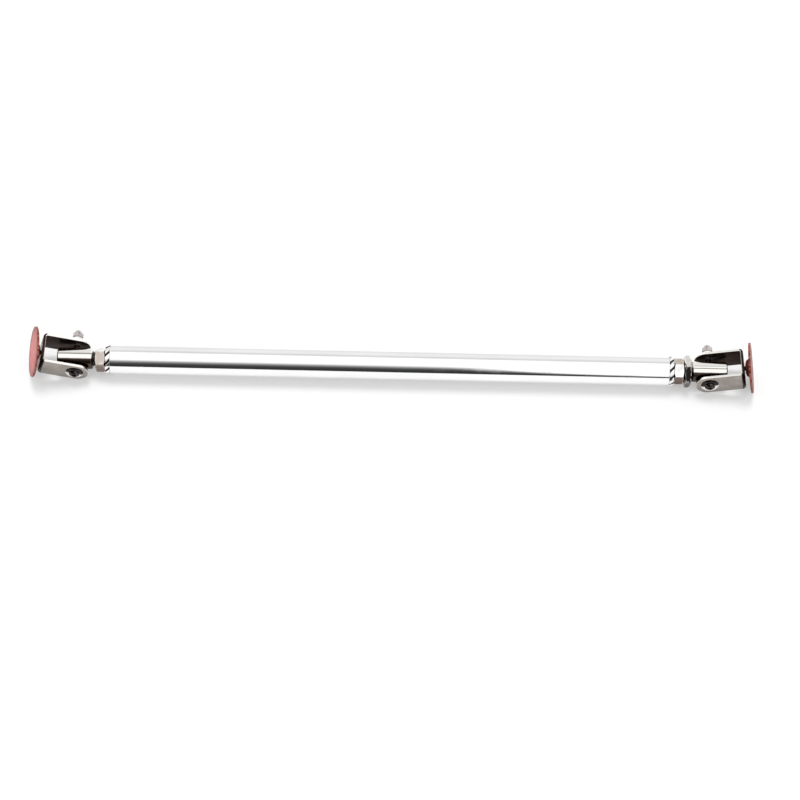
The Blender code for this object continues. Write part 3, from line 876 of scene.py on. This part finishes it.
def fork_body():
    """A fork bent from plate, with round ears, its holes bored and its edges eased."""
    inner = FORK_INNER_HALF
    outer = inner + FORK_PLATE
    outer_bend = FORK_BEND + FORK_PLATE
    corner_x = FORK_REACH - outer_bend
    corner_y = outer - outer_bend
    tip = -FORK_HALF_HEIGHT - FORK_EAR_SHIFT - OVERSHOOT
    front = FORK_REACH + OVERSHOOT
    steps_outside, steps_inside = FORK_BEND_STEPS
    outline = [(tip, inner), (tip, outer)]
    outline += arc((corner_x, corner_y), outer_bend, 90.0, 0.0, steps_outside)
    outline += arc((corner_x, -corner_y), outer_bend, 0.0, -90.0, steps_outside)
    outline += [(tip, -outer), (tip, -inner)]
    outline += arc((corner_x, -corner_y), FORK_BEND, -90.0, 0.0, steps_inside)
    outline += arc((corner_x, corner_y), FORK_BEND, 0.0, 90.0, steps_inside)
    level = FORK_HALF_HEIGHT + OVERSHOOT
    plate = extruded(outline, -level, level, True)
    side = [(front, -FORK_HALF_HEIGHT), (front, FORK_HALF_HEIGHT)]
    side += arc((-FORK_EAR_SHIFT, 0.0), FORK_HALF_HEIGHT, 90.0, 270.0, FORK_EAR_STEPS)
    ears = extruded(side, -outer - OVERSHOOT, outer + OVERSHOOT, False)
    plate = combined(plate, ears, "INTERSECT")
    plate = bored_across(plate, BOLT_HOLE, outer + 0.005, SMALL_SIDES)
    sink = STUD_SINK - STUD_HOLE
    countersunk = [
        (FORK_WEB_INNER - OVERSHOOT, 0.0),
        (FORK_WEB_INNER - OVERSHOOT, STUD_SINK),
        (FORK_WEB_INNER, STUD_SINK),
        (FORK_WEB_INNER + sink, STUD_HOLE),
        (front, STUD_HOLE),
        (front, 0.0),
    ]
    plate = combined(plate, turned(countersunk, SMALL_SIDES), "DIFFERENCE")
    bevel = {"width": FORK_EDGE, "segments": 3, "use_clamp_overlap": True}
    bevel |= {"limit_method": "ANGLE", "angle_limit": math.radians(FORK_EDGE_ANGLE)}
    return modified(as_object(plate), "BEVEL", bevel)


def bolt_body(size, seat, shank_radius):
    """A button-head bolt along X with a hexagon socket in its head and a threaded end."""
    rise = seat - size.start - BOLT_HEAD_EDGE
    sphere = (rise**2 + size.outer**2) / (2.0 * rise)
    centre = size.start + sphere
    mouth = BOLT_SOCKET * BOLT_SOCKET_MOUTH
    mouth_turn = math.asin(mouth / sphere)
    edge_turn = math.asin(size.outer / sphere)
    turns = evenly(mouth_turn, edge_turn, BOLT_DOME_STEPS)
    dome = [(centre - sphere * math.cos(turn), sphere * math.sin(turn)) for turn in turns]
    top = dome[0][0]
    floor = size.start + BOLT_SOCKET_DEPTH
    thread_start = size.end - BOLT_THREAD_LENGTH
    rings = round(BOLT_THREAD_LENGTH / BOLT_PITCH * THREAD_STEPS)
    alongs = evenly(thread_start, size.end, rings)
    tip = shank_radius - BOLT_PITCH * THREAD_DEPTH_SHARE - FINE_EDGE

    def section(angle):
        socket = hexagon_radius(angle, BOLT_SOCKET, FINE_EDGE)
        points = [(floor + BOLT_DRILL_DEPTH, 0.0), (floor, socket * BOLT_DRILL_SHARE)]
        points += [(floor - FINE_EDGE, socket), (top + 0.0005, socket)]
        points += [(top + 0.0001, mouth - 0.0001)] + dome
        points += [(seat - FINE_EDGE, size.outer), (seat, size.outer - FINE_EDGE)]
        points += [(seat, shank_radius + SOFT_EDGE), (seat + SOFT_EDGE, shank_radius)]
        for along in alongs:
            fade = min((along - thread_start) / (2.0 * BOLT_PITCH), 1.0)
            groove = thread_groove(along, angle, BOLT_PITCH, 1.0) * fade
            points.append((along, min(shank_radius - groove, tip + size.end - along)))
        points.append((size.end, 0.0))
        return points

    return revolved(section, hexagon_angles(BOLT_SOCKET, FINE_EDGE, 10, 2))


def washer_body(size, outside):
    """A wide washer, bevelled on the side that faces away from the fork: 1 for -X, -1 for +X."""
    rise = WASHER_BEVEL * math.tan(math.radians(WASHER_BEVEL_ANGLE))
    corners = [
        (0.0, size.inner, SMALL_EDGE),
        (0.0, size.outer - WASHER_BEVEL, SMALL_EDGE),
        (rise, size.outer, FINE_EDGE),
        (size.end - size.start, size.outer, FINE_EDGE),
        (size.end - size.start, size.inner, SMALL_EDGE),
    ]
    outline = [
        (size.start + along if outside > 0.0 else size.end - along, radius)
        for along, radius in subdivided(filleted(corners), WASHER_STEP)
    ]
    return turned(outline, WASHER_SIDES)


def stud_body(head_end, ball_radius, stud_radius, sink_radius):
    """A ball stud with its ball on the origin and a countersunk head."""
    neck = math.degrees(math.asin(stud_radius / ball_radius))
    ball = arc((0.0, 0.0), ball_radius, 180.0 - neck, 0.0, BALL_STEPS)[:-1]
    outline = [
        (head_end, 0.0),
        (head_end, sink_radius - SMALL_EDGE),
        (head_end + SMALL_EDGE, sink_radius),
        (head_end + sink_radius - stud_radius, stud_radius),
    ]
    return turned(outline + ball + [(ball_radius, 0.0)], SMALL_SIDES)


def socket_body(size, cavity):
    """The round metal socket of a pad, hollowed for the ball."""
    mouth = 180.0 - math.degrees(math.acos(-size.start / cavity))
    hollow = arc((0.0, 0.0), cavity, 0.0, mouth, SOCKET_STEPS)[1:]
    corners = [(cavity, 0.0, 0.0)]
    corners += [(along, radius, 0.0) for along, radius in hollow]
    corners += [
        (size.start, size.outer, SOCKET_EDGES[0]),
        (size.end, size.outer, SOCKET_EDGES[1]),
        (size.end, 0.0, 0.0),
    ]
    return turned(filleted(corners), SOCKET_SIDES)


def pad_body(size, recess_end, recess_radius):
    """A moulded pad: a flat disc with a round hub behind and a fine mould line on its rim."""
    parting = size.end - PAD_RIM * 0.5
    beside_flash = size.outer - PAD_FLASH
    corners = [
        (recess_end, 0.0, 0.0),
        (recess_end, recess_radius, SMALL_EDGE),
        (size.start, recess_radius, SMALL_EDGE),
        (size.start, PAD_HUB_RADIUS, PAD_EDGE),
        (size.end - PAD_MIDDLE, PAD_HUB_FOOT, PAD_FOOT_EDGE),
        (size.end - PAD_RIM, size.outer - PAD_BACK_DRAFT, PAD_BACK_EDGE),
        (parting - PAD_FLASH, beside_flash, 0.0),
        (parting, size.outer, 0.0),
        (parting + PAD_FLASH, beside_flash, 0.0),
        (size.end, beside_flash, PAD_EDGE),
        (size.end, 0.0, 0.0),
    ]
    return turned(subdivided(filleted(corners), PAD_STEP), PAD_SIDES)


# ---- assembly

FORK_POINTS = local_points("left_fork_bracket", fork_axes("left"))
FORK_REACH = max(point.x for point in FORK_POINTS)
FORK_WEB_INNER = FORK_REACH - FORK_PLATE
FORK_HALF_HEIGHT = max(point.z for point in FORK_POINTS)
FORK_INNER_HALF = max(point.y for point in FORK_POINTS) - FORK_PLATE

FLANGE_RADIUS = span("left_end_plug", end_axes("left")).outer
PAD_FACE = span("left_rubber_pad", pad_axes("left")).end

# Lit and shaded copies of one turned steel: the painted reflection line and the painted shade sit at other heights
# on each side.
LEFT_HEAD = head_material("left_turned_steel", -1.0, 0.0085, 0.0016)
RIGHT_HEAD = head_material("right_turned_steel", 1.0, 0.0045, -0.0016)
# Lit and shaded copies of one plated nut finish: the flats carry painted light and shade, different at each end.
LEFT_NUT = nut_material(
    "left_plated_nut", -1.0, rgb(0.25, 0.185, 0.165), rgb(0.64, 0.56, 0.50), rgb(0.93, 0.92, 0.90)
)
RIGHT_NUT = nut_material(
    "right_plated_nut", 1.0, rgb(0.17, 0.12, 0.105), rgb(0.93, 0.92, 0.90), rgb(0.52, 0.46, 0.40)
)
JAM_NUT = nut_material(
    "jam_plated_nut", 1.0, rgb(0.12, 0.085, 0.075), rgb(0.020, 0.013, 0.013), rgb(0.80, 0.77, 0.73)
)
# The threaded rod is painted near black, standing in for the shade in the gap between the rod head and the nuts;
# its worn crests stay lighter.
THREAD = metal(
    "threaded_steel", rgb(0.050, 0.040, 0.036), rgb(0.022, 0.018, 0.016), (0.20, 0.34),
    500.0, 0.000010, rgb(0.20, 0.18, 0.16),
)
FASTENER = metal(
    "plated_fastener", rgb(0.66, 0.61, 0.60), rgb(0.48, 0.44, 0.43), (0.06, 0.14),
    220.0, 0.000006, rgb(0.035, 0.028, 0.028),
)
NICKEL = metal(
    "black_nickel", rgb(0.055, 0.046, 0.044), rgb(0.028, 0.023, 0.022), (0.10, 0.20),
    220.0, 0.000006, rgb(0.30, 0.28, 0.27),
)
WASHER = metal(
    "bright_washer", rgb(0.93, 0.925, 0.91), rgb(0.84, 0.83, 0.81), (0.07, 0.15),
    220.0, 0.000004, rgb(0.78, 0.77, 0.75),
)
HALF_SHADED_WASHER = washer_material()
BRONZE = metal(
    "bronze_bush", rgb(0.62, 0.43, 0.22), rgb(0.42, 0.28, 0.14), (0.28, 0.42),
    (1500.0, 200.0, 200.0), 0.000010,
)
TUBE = tube_material()
FLANGE = flange_material()
FORK = fork_material()
# The left pad's rubber is the lit copy and the right pad's the shaded copy of one rubber, painted lighter and
# darker.
PINK_RUBBER = rubber_material(
    "lit_red_brown_rubber", rgb(0.64, 0.170, 0.155), rgb(0.55, 0.135, 0.118)
)
BROWN_RUBBER = rubber_material(
    "shaded_red_brown_rubber", rgb(0.27, 0.085, 0.065), rgb(0.18, 0.050, 0.038)
)


def build_tube():
    """The main tube, in the frame of its right end."""
    matrix = end_axes("right")
    size = span("main_tube", matrix)
    finish_piece(
        "main_tube_polished", tube_body(size), matrix, TUBE, "tube_assembly", "polished_tube",
        "main_tube",
    )
    return size


def build_end(side, tube_inner):
    """Everything at one end of the bar."""
    end = end_axes(side)
    rod = rod_axes(side)
    fork = fork_axes(side)
    pad = pad_axes(side)
    hand = 1.0 if side == "right" else -1.0

    def add(part, bm, matrix, material, body, slot, node):
        finish_piece(f"{side}_{part}", bm, matrix, material, body, slot, f"{side}_{node}")

    plug = span(f"{side}_end_plug", end)
    add("plug_flanged", plug_body(plug, tube_inner), end, FLANGE, "tube_assembly",
        "turned_steel", "end_plug")
    for nut, turn in NUT_TURNS.items():
        node = f"{side}_{nut}"
        if node in frame["nodes"]:
            seated = end @ Matrix.Rotation(math.radians(turn), 4, "X")
            flats = 2.0 * half_width(node, seated)
            finish = {"left": LEFT_NUT, "right": RIGHT_NUT}[side] if turn == 0.0 else JAM_NUT
            add(f"{nut}_plated", nut_body(span(node, seated), flats), seated, finish, node,
                "plated_nut", nut)

    rod_size = span(f"{side}_threaded_rod", rod)
    head_size = span(f"{side}_rod_head", rod)
    socket_depth = rod_size.end + GAP - head_size.start
    across = rod @ Matrix.Rotation(math.radians(90.0), 4, "Z")
    bush_size = span(f"{side}_pivot_bush", across)
    head = head_body(head_size, rod_size.outer + GAP, socket_depth, bush_size.outer + GAP)
    body = f"{side}_rod"
    add("rod_thread", rod_body(rod_size, hand), rod, THREAD, body, "threaded_steel",
        "threaded_rod")
    finish = LEFT_HEAD if side == "left" else RIGHT_HEAD
    add("rod_head_turned", head, rod, finish, body, "turned_steel", "rod_head")
    bush = turned(ring_outline(bush_size, SMALL_EDGE, BUSH_STEP), SMALL_SIDES)
    add("bush_lining", bush, across, BRONZE, body, "bronze_bush", "pivot_bush")

    body = f"{side}_fork"
    add("fork_plate", fork_body(), fork, FORK, body, "stainless_plate", "fork_bracket")
    slot = "plated_fastener"
    bolt = fork @ Matrix.Rotation(math.radians(90.0 * hand), 4, "Z")
    head_washer = span(f"{side}_head_washer", bolt)
    seat = head_washer.start - GAP
    shank = bolt_body(span(f"{side}_pivot_bolt", bolt), seat, head_washer.inner - GAP)
    add("bolt_button_head", shank, bolt, bolt_material(seat), body, slot, "pivot_bolt")
    for node, outside, finish in (("head_washer", 1.0, HALF_SHADED_WASHER), ("nut_washer", -1.0, WASHER)):
        washer = washer_body(span(f"{side}_{node}", bolt), outside)
        add(f"{node}_plated", washer, bolt, finish, body, slot, node)
    nuts = (("pivot_nut", None, WASHER), ("locking_nut", COLLAR_RADIUS, FASTENER))
    for node, collar, finish in nuts:
        flats = 2.0 * half_width(f"{side}_{node}", bolt)
        nut = nut_body(span(f"{side}_{node}", bolt), flats, collar)
        add(f"{node}_plated", nut, bolt, finish, body, slot, node)

    swivel = fork.copy()
    swivel.translation = pad.translation
    stud = span(f"{side}_pad_stud", swivel)
    socket = span(f"{side}_pad_socket", pad)
    ball = stud.end
    add("ball_stud", stud_body(stud.start, ball, STUD_HOLE - GAP, STUD_SINK - GAP),
        swivel, NICKEL, body, slot, "pad_stud")

    body = f"{side}_pad"
    add("pad_socket_turned", socket_body(socket, ball + GAP), pad, NICKEL, body,
        "turned_steel", "pad_socket")
    pad_size = span(f"{side}_rubber_pad", pad)
    rubber = PINK_RUBBER if side == "left" else BROWN_RUBBER
    add("pad_moulded", pad_body(pad_size, socket.end + GAP, socket.outer + GAP), pad,
        rubber, body, "red_brown_rubber", "rubber_pad")


tube_size = build_tube()
for end_side in ("left", "right"):
    build_end(end_side, tube_size.inner)


# ---- studio

FLOOR_HALF = 30.0
FLOOR_COLOURS = (rgb(0.42, 0.42, 0.42), rgb(0.415, 0.415, 0.415))
FLOOR_GLOW = 0.40
KEY_STRENGTH = 2.0
KEY_ELEVATION = 74.0
KEY_SOFTNESS = 26.0


def build_floor():
    """A plain pale floor of frosted glass, lit a little from below."""
    bm = bmesh.new()
    bmesh.ops.create_grid(bm, x_segments=2, y_segments=2, size=FLOOR_HALF)
    floor = meshed("floor", bm)
    nodes = Nodes("floor_glass")
    clouds = nodes.rise(nodes.noise(3.0), 0.3, 0.7)
    nodes.set("Base Color", nodes.mixed(clouds, *FLOOR_COLOURS))
    nodes.set("Emission Color", rgb(1.0, 1.0, 1.0))
    nodes.set("Emission Strength", FLOOR_GLOW)
    nodes.set("Roughness", 0.9)
    nodes.set("Specular IOR Level", 0.1)
    floor.data.materials.append(nodes.material)


def build_key_light():
    """A broad soft light from behind, which draws the bar's soft shadow towards the viewer."""
    data = bpy.data.lights.new("key", "SUN")
    data.energy = KEY_STRENGTH
    data.angle = math.radians(KEY_SOFTNESS)
    light = linked("key", data)
    light.rotation_euler = (math.radians(KEY_ELEVATION - 90.0), 0.0, 0.0)
    light.visible_glossy = False


def stops(ramp, values):
    """Sets a colour ramp to grey values at places from 0 to 1."""
    while len(ramp.elements) > 1:
        ramp.elements.remove(ramp.elements[-1])
    for index, (place, value) in enumerate(values):
        element = ramp.elements[0] if index == 0 else ramp.elements.new(place)
        element.position = place
        element.color = rgb(value, value, value)


def build_world():
    """A soft studio: bright overhead, pale behind the bar and dark in front, below the light.

    The dark front is lower towards the right, as an open studio side would make it.
    """
    world = bpy.data.worlds.new("studio")
    world.use_nodes = True
    bpy.context.scene.world = world
    sky = Graph(world.node_tree)
    direction = sky.node("ShaderNodeTexCoord", {}).outputs["Generated"]
    sideways, backward, upward = sky.axes(direction)
    height = sky.math("ARCTAN2", upward, sky.math("MULTIPLY", backward, -1.0))
    share = sky.math("DIVIDE", height, math.pi)
    opening = sky.ranged(sideways, 0.02, 0.13, 1.0, 4.0)
    front = sky.node("ShaderNodeValToRGB", {0: sky.math("MULTIPLY", share, opening)})
    stops(front.color_ramp, (
        (0.0, 0.036), (0.05, 0.036), (0.092, 0.040), (0.135, 0.055), (0.177, 0.120),
        (0.220, 0.27), (0.262, 0.58), (0.303, 1.0), (0.330, 1.15),
    ))
    back = sky.node("ShaderNodeValToRGB", {0: share})
    stops(back.color_ramp, (
        (0.0, 1.15), (0.625, 1.15), (0.660, 0.76), (0.700, 0.72), (0.760, 0.90),
        (0.850, 0.92), (0.930, 0.84), (1.0, 0.84),
    ))
    from_middle = sky.math("ABSOLUTE", sideways)
    flank = sky.ranged(from_middle, 0.17, 0.27, 0.0, 1.15)
    behind = sky.math("MAXIMUM", back.outputs[0], flank)
    lit = sky.math("MINIMUM", front.outputs[0], behind)
    evened = sky.blended(sky.rise(from_middle, 0.75, 0.97), lit, 0.75)
    seen = sky.node("ShaderNodeLightPath", {}).outputs["Is Camera Ray"]
    background = sky.tree.nodes["Background"]
    sky.feed(background.inputs["Color"], sky.blended(seen, evened, 1.0))


def build_camera():
    """The camera, in front of and above the bar."""
    elevation = math.radians(CAMERA_ELEVATION)
    roll = math.radians(CAMERA_ROLL)
    forward = Vector((0.0, math.cos(elevation), -math.sin(elevation)))
    level = Vector((1.0, 0.0, 0.0))
    above = Vector((0.0, math.sin(elevation), math.cos(elevation)))
    right = level * math.cos(roll) + above * math.sin(roll)
    up = above * math.cos(roll) - level * math.sin(roll)
    pivots = [fork_axes(side).translation for side in ("left", "right")]
    middle = (pivots[0] + pivots[1]) / 2.0
    distance = FOCAL_LENGTH / SENSOR_WIDTH * VIEW_WIDTH
    place = middle - forward * distance - right * BAR_OFFSET[0] - up * BAR_OFFSET[1]
    data = bpy.data.cameras.new("camera")
    data.lens = FOCAL_LENGTH
    data.sensor_width = SENSOR_WIDTH
    camera = linked("camera", data)
    matrix = Matrix((right, up, -forward)).transposed().to_4x4()
    matrix.translation = place
    camera.matrix_world = matrix
    bpy.context.scene.camera = camera


build_floor()
build_key_light()
build_world()
build_camera()
bpy.context.scene.view_settings.view_transform = "Standard"

bpy.context.view_layer.update()
